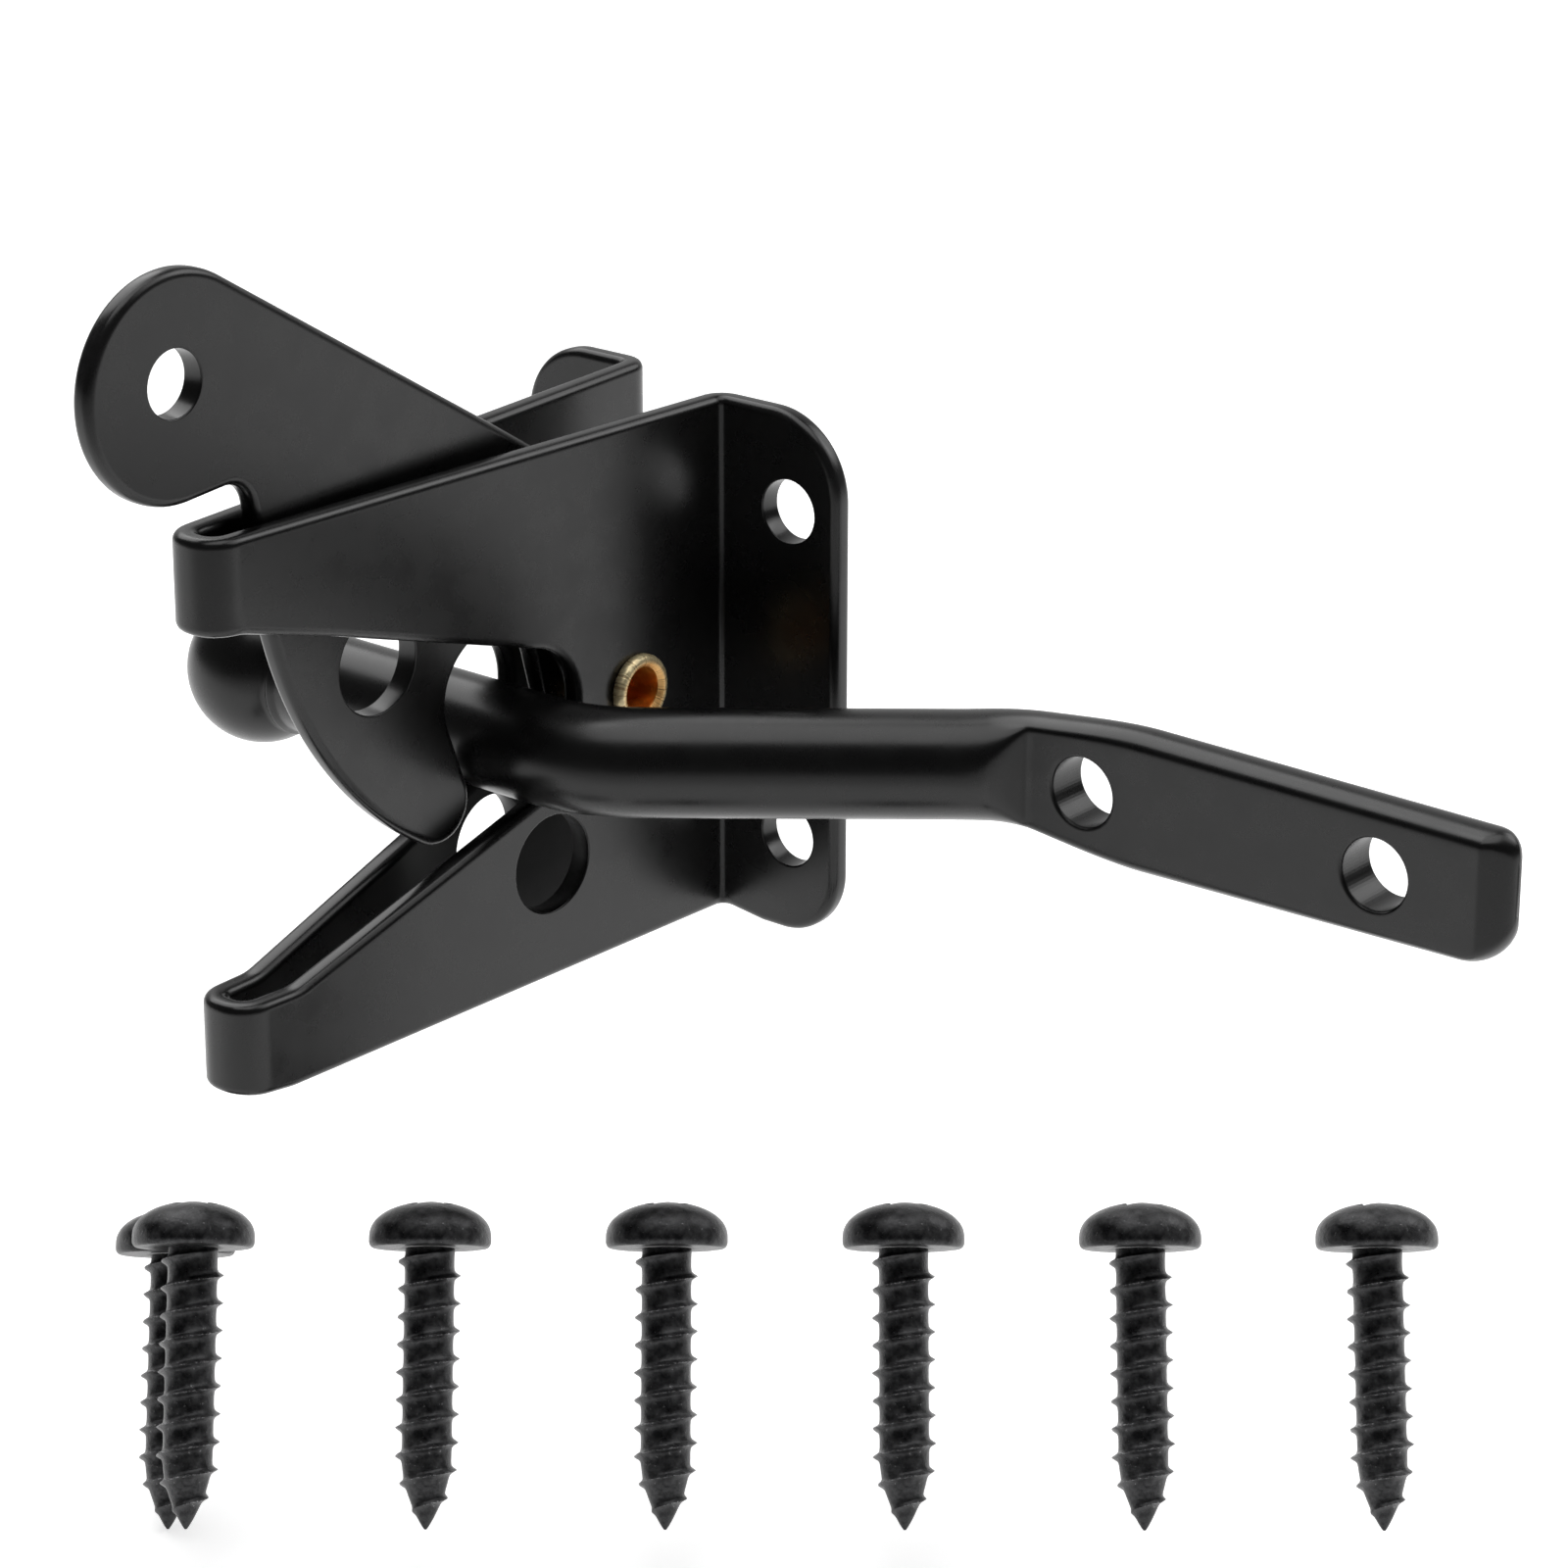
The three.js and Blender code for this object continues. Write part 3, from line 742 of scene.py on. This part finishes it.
def shank(thread_phases):
    """The threaded shank: its rows of points follow the helix, so that the crest is one clean line."""
    columns = 56
    pitches = math.ceil(SCREW_LENGTH / SCREW_PITCH) + 1
    starts = [(turn - 1 + phase) * SCREW_PITCH for turn in range(pitches + 1) for phase in thread_phases]
    from_crest = [SCREW_PITCH * abs((phase + 0.5) % 1 - 0.5) for phase in thread_phases] * (pitches + 1)
    around = np.arange(columns) / columns
    angles = around * 2 * math.pi
    points, crest = [], []
    for start, away in zip(starts, from_crest):
        z = np.clip(start + around * SCREW_PITCH, 0, SCREW_LENGTH)
        taper = np.clip(z / SCREW_TIP, 0, 1)
        core = SCREW_CORE * (0.04 + 0.96 * np.sin(taper * math.pi / 2) ** 0.85)
        fade = smoothstep(z, 0.5, 2.6) * (1 - smoothstep(z, SCREW_LENGTH - SCREW_PLAIN, SCREW_LENGTH))
        fin = math.exp(-((away / CREST_WIDTH) ** 1.4)) * fade
        ragged = 0.05 * np.sin(7 * angles + start) * np.sin(3.1 * start + 2 * angles)
        radius = core + (SCREW_THREAD - SCREW_CORE + ragged) * fin * (0.55 + 0.45 * taper)
        points.append(np.stack([radius * np.cos(angles), radius * np.sin(angles), z], 1))
        crest.extend(fin)
    per_turn = len(thread_phases)
    faces = grid_faces(len(points), columns, wrap=False)
    for row in range(len(points) - per_turn - 1):
        last = row * columns + columns - 1
        first = (row + per_turn) * columns
        faces.append((last, first, first + columns, last + columns))
    return np.concatenate(points), faces, crest


def screw_head():
    """The pan head as a closed turned shape, underside first."""
    r, h = SCREW_HEAD_RADIUS, SCREW_HEAD_HEIGHT
    under = [(0.02, 0.3), (2.2, 0.25), (2.7, 0.04), (3.6, 0), (r - 0.45, 0)]
    rim = [
        (r - 0.45 + 0.45 * math.sin(a), 0.6 - 0.6 * math.cos(a))
        for a in np.radians(np.linspace(15, 90, 6))
    ]
    rises = np.sin(np.linspace(0, math.pi / 2, 24))[:-1]
    dome = [(r * math.sqrt(1 - t ** 2.3), 0.9 + (h - 0.9) * t) for t in rises]
    profile = [(rad, z + SCREW_LENGTH) for rad, z in under + rim + dome + [(0.02, h)]]
    points, faces = revolved(profile, TURNED_STEPS)
    return points, faces + end_faces(len(points), TURNED_STEPS)


def recess_mesh():
    """A cross-shaped cutter whose four wings narrow on their way down."""
    top, depth = SCREW_LENGTH + SCREW_HEAD_HEIGHT + 0.5, 2.9
    wing, long, point = 0.55, 2.9, 0.9
    corner = [(long, -wing), (long, wing), (wing * 1.5, wing * 1.5)]
    plan = []
    for quarter in range(4):
        a = quarter * math.pi / 2
        plan.extend((x * math.cos(a) - y * math.sin(a), x * math.sin(a) + y * math.cos(a)) for x, y in corner)
    plan = np.array(plan)
    shrink = point / long
    rings = [(plan, top), (plan, top - 0.6), (plan * shrink, top - depth)]
    points = np.concatenate([np.c_[ring, np.full(len(ring), z)] for ring, z in rings])
    faces = [tuple(reversed(f)) for f in grid_faces(3, len(plan))]
    faces.append(tuple(range(len(plan))))
    faces.append(tuple(reversed(range(2 * len(plan), 3 * len(plan)))))
    mesh = bpy.data.meshes.new("recess")
    mesh.from_pydata((points * MM).tolist(), [], faces)
    return mesh


def make_screws(material):
    """Seven screws sharing one mesh, each with the middle of its box on that of its CAD node."""
    along = math.radians(SCREW_ROW_DIRECTION)
    row = Vector((math.cos(along), math.sin(along), 0))
    pattern = screw_mesh(material)
    pattern.transform(Matrix.Rotation(math.radians(-SCREW_LEAN), 4, row))
    corners = np.array([tuple(v.co) for v in pattern.vertices])
    middle = Vector((corners.min(0) + corners.max(0)) / 2)
    for name in sorted(n for n in frame["nodes"] if n.startswith("wood_screw_")):
        low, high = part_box(name)
        piece = bpy.data.objects.new(name.replace("wood_screw", "screw"), pattern)
        bpy.context.scene.collection.objects.link(piece)
        piece.location = (low + high) / 2 - middle
        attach(piece, "latch_body")
        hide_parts(name)


def screw_mesh(material):
    """The head with its recess cut out, and the threaded shank, with its tip at the origin."""
    phases = (0, 0.035, 0.08, 0.13, 0.2, 0.34, 0.5, 0.66, 0.8, 0.87, 0.92, 0.965)
    points, faces = screw_head()
    head_mesh = bpy.data.meshes.new("screw_head")
    head_mesh.from_pydata((points * MM).tolist(), [], faces)
    head = bpy.data.objects.new("screw_head", head_mesh)
    bpy.context.scene.collection.objects.link(head)
    subtract(head, recess_mesh())
    mesh = joined(head.data, *shank(phases))
    mesh.materials.append(material)
    bpy.data.objects.remove(head)
    return mesh


def joined(mesh, points, faces, rim):
    """One mesh holding the given mesh and a second set of points and faces with rim weights."""
    first = np.empty(len(mesh.vertices) * 3)
    mesh.vertices.foreach_get("co", first)
    first = first.reshape(-1, 3)
    all_faces = [tuple(p.vertices) for p in mesh.polygons]
    all_faces += offset_faces(faces, len(first))
    out = bpy.data.meshes.new("wood_screw")
    out.from_pydata(np.concatenate([first, points * MM]).tolist(), [], all_faces)
    out.validate()
    add_weights(out, "rim", np.concatenate([np.zeros(len(first)), rim]))
    out.polygons.foreach_set("use_smooth", [True] * len(out.polygons))
    out.set_sharp_from_angle(angle=math.radians(50))
    return out


# ---- Materials ----


class Nodes:
    """Short ways to add and link a material's nodes."""

    def __init__(self, name):
        self.material = bpy.data.materials.new(name)
        self.material.use_nodes = True
        self.tree = self.material.node_tree
        self.shader = self.tree.nodes["Principled BSDF"]
        self.position = self.add("ShaderNodeTexCoord").outputs["Object"]

    def add(self, kind, **values):
        node = self.tree.nodes.new(kind)
        for key, value in values.items():
            if hasattr(node, key):
                setattr(node, key, value)
            else:
                node.inputs[key.replace("_", " ")].default_value = value
        return node

    def link(self, output, target):
        self.tree.links.new(output, target)

    def noise(self, size_mm, detail=3.0, roughness=0.55):
        """Noise whose blotches are about size_mm across."""
        node = self.add("ShaderNodeTexNoise", Scale=1 / (size_mm * MM), Detail=detail, Roughness=roughness)
        self.link(self.position, node.inputs["Vector"])
        return node.outputs["Fac"]

    def ramp(self, value, low, high, low_value, high_value):
        node = self.add("ShaderNodeMapRange", clamp=True)
        ends = {"From Min": low, "From Max": high, "To Min": low_value, "To Max": high_value}
        for key, number in ends.items():
            node.inputs[key].default_value = number
        self.link(value, node.inputs["Value"])
        return node.outputs["Result"]

    def mix(self, factor, first, second):
        node = self.add("ShaderNodeMix", data_type="RGBA")
        self.link(factor, node.inputs["Factor"])
        for key, value in (("A", first), ("B", second)):
            socket = next(s for s in node.inputs if s.identifier == key + "_Color")
            if isinstance(value, tuple):
                socket.default_value = (*value, 1)
            else:
                self.link(value, socket)
        return next(s for s in node.outputs if s.identifier == "Result_Color")

    def maths(self, operation, first, second=0):
        node = self.add("ShaderNodeMath", operation=operation)
        for socket, value in zip(node.inputs, (first, second)):
            if isinstance(value, (int, float)):
                socket.default_value = value
            else:
                self.link(value, socket)
        return node.outputs["Value"]

    def bump(self, height, depth_mm, strength=1.0, normal=None):
        node = self.add("ShaderNodeBump", Strength=strength, Distance=depth_mm * MM)
        self.link(height, node.inputs["Height"])
        if normal:
            self.link(normal, node.inputs["Normal"])
        return node.outputs["Normal"]


def black_coat():
    """Satin black coating: fine orange peel, faint dust specks, glossier edges that are also lighter in colour in
    patches, partly edge wear and partly a painted sheen, and matt deep in the fold.
    """
    n = Nodes("black_coat")
    peel = n.noise(0.9, detail=2)
    grain = n.noise(0.16, detail=3)
    cloud = n.noise(11, detail=3)
    specks = n.ramp(n.noise(0.3, detail=1), 0.78, 0.83, 0, 1)
    rim = n.add("ShaderNodeAttribute", attribute_name="rim").outputs["Fac"]
    # Rims turn lighter in patches: partly edge wear, partly a painted sheen along the edges.
    wear_and_sheen = n.maths("MULTIPLY", rim, n.ramp(n.noise(2.2), 0.45, 0.7, 0, 1))
    base = n.mix(n.ramp(cloud, 0.35, 0.65, 0, 1), (0.0018, 0.0018, 0.0019), (0.0028, 0.0027, 0.0027))
    # Mixes the lighter rim colour in: edge wear and painted sheen.
    base = n.mix(n.maths("MULTIPLY", wear_and_sheen, 0.5), base, (0.016, 0.016, 0.017))
    base = n.mix(n.maths("MULTIPLY", specks, 0.25), base, (0.02, 0.02, 0.02))
    n.link(base, n.shader.inputs["Base Color"])
    deep = n.add("ShaderNodeAttribute", attribute_name="deep").outputs["Fac"]
    rough = n.ramp(n.noise(3.5, detail=4), 0.3, 0.7, 0.25, 0.31)
    rough = n.maths("SUBTRACT", rough, n.maths("MULTIPLY", rim, 0.03))
    n.link(n.maths("ADD", rough, n.maths("MULTIPLY", deep, 0.6)), n.shader.inputs["Roughness"])
    normal = n.bump(grain, 0.0015)
    n.link(n.bump(peel, 0.003, normal=normal), n.shader.inputs["Normal"])
    n.shader.inputs["Specular IOR Level"].default_value = 0.46
    return n.material


def rivet_brass():
    """Yellow-plated brass, painted a darker tan on its inner chamfer as shade, with fine radial creases where it
    was rolled over, painted darker inside them as shade.
    """
    n = Nodes("rivet_brass")
    separate = n.add("ShaderNodeSeparateXYZ")
    n.link(n.position, separate.inputs["Vector"])
    y = n.maths("SUBTRACT", separate.outputs["Y"], PIVOT[1] * MM)
    z = n.maths("SUBTRACT", separate.outputs["Z"], PIVOT[2] * MM)
    angle = n.maths("ARCTAN2", z, y)
    around = n.add("ShaderNodeCombineXYZ")
    n.link(n.maths("SINE", angle), around.inputs["X"])
    n.link(n.maths("COSINE", angle), around.inputs["Y"])
    creases = n.add("ShaderNodeTexNoise", Scale=13.0, Detail=4.0, Roughness=0.6)
    n.link(around.outputs["Vector"], creases.inputs["Vector"])
    radius = n.maths("SQRT", n.maths("ADD", n.maths("POWER", y, 2), n.maths("POWER", z, 2)))
    # Painted shade: darker tan on the inner chamfer, towards the bore.
    outward = n.ramp(radius, RIVET_TAN[0] * MM, RIVET_TAN[1] * MM, 0, 1)
    base = n.mix(outward, (0.85, 0.5, 0.18), (1.0, 0.84, 0.5))
    # Painted shade: the colour turns darker brown in the creases.
    base = n.mix(n.ramp(creases.outputs["Fac"], 0.3, 0.5, 0.75, 0), base, (0.4, 0.2, 0.06))
    n.link(base, n.shader.inputs["Base Color"])
    n.shader.inputs["Metallic"].default_value = 0.6
    n.link(n.ramp(creases.outputs["Fac"], 0.3, 0.7, 0.22, 0.4), n.shader.inputs["Roughness"])
    n.link(n.bump(creases.outputs["Fac"], 0.08), n.shader.inputs["Normal"])
    return n.material


def rivet_bore():
    """The inside of the rivet's tube: the same plating, dark orange in the shade."""
    n = Nodes("rivet_bore")
    base = n.mix(n.ramp(n.noise(2.5), 0.35, 0.65, 0, 1), (0.4, 0.12, 0.012), (0.8, 0.34, 0.06))
    n.link(base, n.shader.inputs["Base Color"])
    n.shader.inputs["Metallic"].default_value = 0.6
    n.link(n.ramp(n.noise(1.5), 0.3, 0.7, 0.2, 0.3), n.shader.inputs["Roughness"])
    n.link(n.bump(n.noise(1.5), 0.03), n.shader.inputs["Normal"])
    return n.material


def black_phosphate():
    """Black phosphate on steel: mottled, a little oily, and rubbed bright in specks on the crests."""
    n = Nodes("black_phosphate")
    mottle = n.noise(1.1, detail=5, roughness=0.65)
    grit = n.noise(0.22, detail=4, roughness=0.7)
    dents = n.noise(0.7, detail=2)
    crest = n.ramp(n.add("ShaderNodeAttribute", attribute_name="rim").outputs["Fac"], 0.7, 1, 0, 0.8)
    rubbed = n.maths("MULTIPLY", crest, n.ramp(grit, 0.5, 0.6, 0, 1))
    scuffs = n.ramp(n.noise(0.35, detail=2), 0.68, 0.75, 0, 0.3)
    base = n.mix(n.ramp(mottle, 0.38, 0.66, 0, 1), (0.008, 0.008, 0.009), (0.06, 0.06, 0.062))
    base = n.mix(n.maths("MAXIMUM", rubbed, scuffs), base, (0.42, 0.42, 0.43))
    n.link(base, n.shader.inputs["Base Color"])
    n.shader.inputs["Metallic"].default_value = 0.55
    n.link(n.ramp(mottle, 0.3, 0.7, 0.26, 0.46), n.shader.inputs["Roughness"])
    normal = n.bump(grit, 0.03)
    n.link(n.bump(dents, 0.06, normal=normal), n.shader.inputs["Normal"])
    return n.material


# ---- Stage ----

# The floor: half its width in metres, and how far it lies below the CAD's lowest point in millimetres.
FLOOR_REACH = 3.0
FLOOR_DROP = 0.2

# Its glow, painted light, drops from one strength to the other over these metres, going towards the camera, so
# that the floor is darker there as a painted shade.
FLOOR_GLOW = (0.6, 0.15)
FLOOR_FADE = (0.14, 0.2)

# The room's glow and its back wall's, which sets in towards the direction straight away from the camera.
ROOM_GLOW = 0.07
WALL_GLOW = 0.6
WALL_FADE = (0.4, 0.9)
PALE_ROOM = (0.95, 0.95, 0.95, 1)

# The camera: angles in degrees, lengths in millimetres, and the shift as a part of the picture's width.
CAMERA_AZIMUTH = 39.706
CAMERA_ELEVATION = 18.507
CAMERA_ROLL = 0.074
CAMERA_AIM = (5.9, 6.0, 2.55)
CAMERA_DISTANCE = 439.4
CAMERA_LENS = 105.466
CAMERA_SHIFT = (0.00573, -0.111)


def add_floor():
    """A plain pale sheet at the height of the screws' tips that glows a little, painted light as from a light
    table beneath it, and glows less towards the camera, a painted shade.
    """
    z = CAD_LOW[2] - FLOOR_DROP * MM
    mesh = bpy.data.meshes.new("floor")
    corners = [(x * FLOOR_REACH, y * FLOOR_REACH, z) for x, y in ((-1, -1), (1, -1), (1, 1), (-1, 1))]
    mesh.from_pydata(corners, [], [(0, 1, 2, 3)])
    n = Nodes("floor_paper")
    n.link(n.mix(n.noise(400), (0.8, 0.8, 0.8), (0.84, 0.84, 0.84)), n.shader.inputs["Base Color"])
    n.shader.inputs["Roughness"].default_value = 0.9
    n.shader.inputs["Specular IOR Level"].default_value = 0.1
    n.shader.inputs["Emission Color"].default_value = (1, 1, 1, 1)
    towards = n.add("ShaderNodeVectorMath", operation="DOT_PRODUCT")
    n.link(n.position, towards.inputs[0])
    a = math.radians(CAMERA_AZIMUTH)
    towards.inputs[1].default_value = (math.sin(a), -math.cos(a), 0)
    # The glow is painted light, weaker towards the camera as painted shade.
    glow = n.ramp(towards.outputs["Value"], *FLOOR_FADE, *FLOOR_GLOW)
    n.link(glow, n.shader.inputs["Emission Strength"])
    mesh.materials.append(n.material)
    floor = bpy.data.objects.new("floor", mesh)
    bpy.context.scene.collection.objects.link(floor)


def add_softbox(name, direction, distance, width, height, radiance):
    """A rectangle of soft light of a given radiance, aimed at the middle of the whole model."""
    light = bpy.data.lights.new(name, "AREA")
    light.shape = "RECTANGLE"
    light.size, light.size_y = width, height
    light.energy = radiance * math.pi * width * height
    lamp = bpy.data.objects.new(name, light)
    bpy.context.scene.collection.objects.link(lamp)
    away = Vector(direction).normalized()
    lamp.location = (CAD_LOW + CAD_HIGH) / 2 + away * distance
    lamp.rotation_euler = away.to_track_quat("Z", "Y").to_euler()


def add_world():
    """A dim room with a paler back wall, seen as pale all over by the camera itself."""
    world = bpy.data.worlds.new("studio")
    world.use_nodes = True
    tree = world.node_tree
    background = tree.nodes["Background"]
    background.inputs["Color"].default_value = (1, 1, 1, 1)
    direction = tree.nodes.new("ShaderNodeTexCoord").outputs["Generated"]
    away = tree.nodes.new("ShaderNodeVectorMath")
    away.operation = "DOT_PRODUCT"
    a = math.radians(CAMERA_AZIMUTH)
    away.inputs[1].default_value = (-math.sin(a), math.cos(a), 0)
    wall = tree.nodes.new("ShaderNodeMapRange")
    ends = {"From Min": WALL_FADE[0], "From Max": WALL_FADE[1], "To Min": ROOM_GLOW, "To Max": WALL_GLOW}
    for key, number in ends.items():
        wall.inputs[key].default_value = number
    tree.links.new(direction, away.inputs[0])
    tree.links.new(away.outputs["Value"], wall.inputs["Value"])
    tree.links.new(wall.outputs["Result"], background.inputs["Strength"])
    pale = tree.nodes.new("ShaderNodeBackground")
    pale.inputs["Color"].default_value = PALE_ROOM
    seen = tree.nodes.new("ShaderNodeLightPath").outputs["Is Camera Ray"]
    mix = tree.nodes.new("ShaderNodeMixShader")
    tree.links.new(seen, mix.inputs[0])
    tree.links.new(background.outputs[0], mix.inputs[1])
    tree.links.new(pale.outputs[0], mix.inputs[2])
    tree.links.new(mix.outputs[0], tree.nodes["World Output"].inputs["Surface"])
    bpy.context.scene.world = world


def add_camera():
    data = bpy.data.cameras.new("camera")
    data.lens = CAMERA_LENS
    data.sensor_width = 36
    data.shift_x, data.shift_y = CAMERA_SHIFT
    data.clip_start, data.clip_end = 0.01, 20
    camera = bpy.data.objects.new("camera", data)
    bpy.context.scene.collection.objects.link(camera)
    a, e = math.radians(CAMERA_AZIMUTH), math.radians(CAMERA_ELEVATION)
    back = Vector((math.sin(a) * math.cos(e), -math.cos(a) * math.cos(e), math.sin(e)))
    right = Vector((math.cos(a), math.sin(a), 0))
    turn = Matrix((right, back.cross(right), back)).transposed()
    turn = Matrix.Rotation(math.radians(CAMERA_ROLL), 3, back) @ turn
    camera.rotation_euler = turn.to_euler()
    camera.location = (Vector(CAMERA_AIM) + back * CAMERA_DISTANCE) * MM
    bpy.context.scene.camera = camera


coat = black_coat()
make_housing(coat)
make_lever(coat)
make_rivet(rivet_brass(), rivet_bore())
make_striker(coat)
make_screws(black_phosphate())

add_floor()
add_world()
add_softbox("softbox_left", (-0.6, 0.15, 0.78), 0.75, 0.6, 0.6, 2.4)
add_softbox("softbox_right", (0.5, 0.45, 0.72), 0.8, 0.5, 0.5, 1.6)
add_softbox("softbox_top", (0.04, -0.06, 1), 0.7, 0.55, 0.55, 2.1)
add_softbox("softbox_back", (0.3, 0.73, 0.58), 0.8, 0.5, 0.45, 2.0)
add_camera()
bpy.context.scene.view_settings.view_transform = "Standard"
